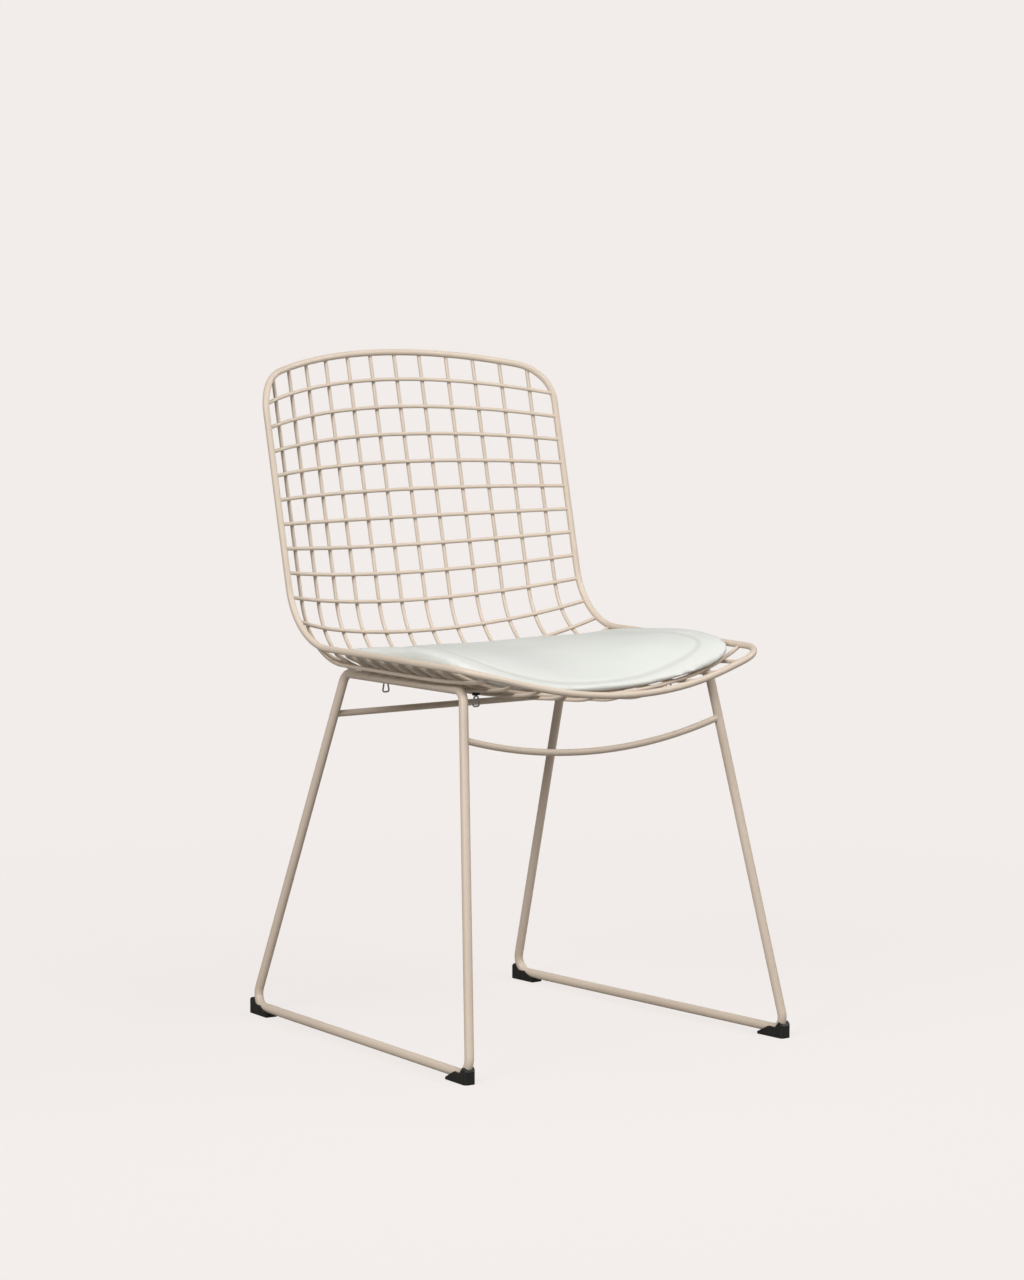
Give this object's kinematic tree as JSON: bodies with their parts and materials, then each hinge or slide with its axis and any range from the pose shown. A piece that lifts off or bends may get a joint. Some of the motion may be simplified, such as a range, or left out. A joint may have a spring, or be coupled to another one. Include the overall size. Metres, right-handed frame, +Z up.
{
  "type": "wire dining chair",
  "caption": "Welded wire dining chair in beige powder coat: curved grid shell on a sled base with black glides, and a loose pale seat pad hooked on from below.",
  "frame": {"origin": "middle of the chair's footprint box, on the floor", "axes": "+Z up, the sitter faces -Y, +X to the right seen from the front"},
  "size_m": [0.4794, 0.5332, 0.8181],
  "materials": {
    "powder_coat": "satin beige powder coat",
    "glide_black": "matt black moulding",
    "pad_leatherette": "pale fine-grained leatherette",
    "pad_foam": "open-cell foam",
    "tab_webbing": "dark woven elastic",
    "hook_chrome": "bright plated wire"
  },
  "bodies": {
    "chair": {"rim_wire": "powder_coat", "long_wire_01": "powder_coat", "long_wire_02": "powder_coat", "long_wire_03": "powder_coat", "long_wire_04": "powder_coat", "long_wire_05": "powder_coat", "long_wire_06": "powder_coat", "long_wire_07": "powder_coat", "long_wire_08": "powder_coat", "long_wire_09": "powder_coat", "long_wire_10": "powder_coat", "long_wire_11": "powder_coat", "long_wire_12": "powder_coat", "cross_wire_01": "powder_coat", "cross_wire_02": "powder_coat", "cross_wire_03": "powder_coat", "cross_wire_04": "powder_coat", "cross_wire_05": "powder_coat", "cross_wire_06": "powder_coat", "cross_wire_07": "powder_coat", "cross_wire_08": "powder_coat", "cross_wire_09": "powder_coat", "cross_wire_10": "powder_coat", "cross_wire_11": "powder_coat", "cross_wire_12": "powder_coat", "cross_wire_13": "powder_coat", "cross_wire_14": "powder_coat", "cross_wire_15": "powder_coat", "cross_wire_16": "powder_coat", "cross_wire_17": "powder_coat", "cross_wire_18": "powder_coat", "cross_wire_19": "powder_coat", "cross_wire_20": "powder_coat", "cross_wire_21": "powder_coat", "left_side_frame": "powder_coat", "right_side_frame": "powder_coat", "rear_stretcher": "powder_coat", "front_stretcher": "powder_coat", "front_left_glide": "glide_black", "front_right_glide": "glide_black", "rear_left_glide": "glide_black", "rear_right_glide": "glide_black"},
    "seat_pad": {"pad_cover": "pad_leatherette", "pad_foam_core": "pad_foam", "pad_tabs": "tab_webbing", "pad_hooks": "hook_chrome"}
  },
  "joints": [
    {"name": "pad_lift", "type": "slide", "parent": "chair", "child": "seat_pad", "axis": [0, 0, 1], "range_m": [0, 0.08]}
  ]
}
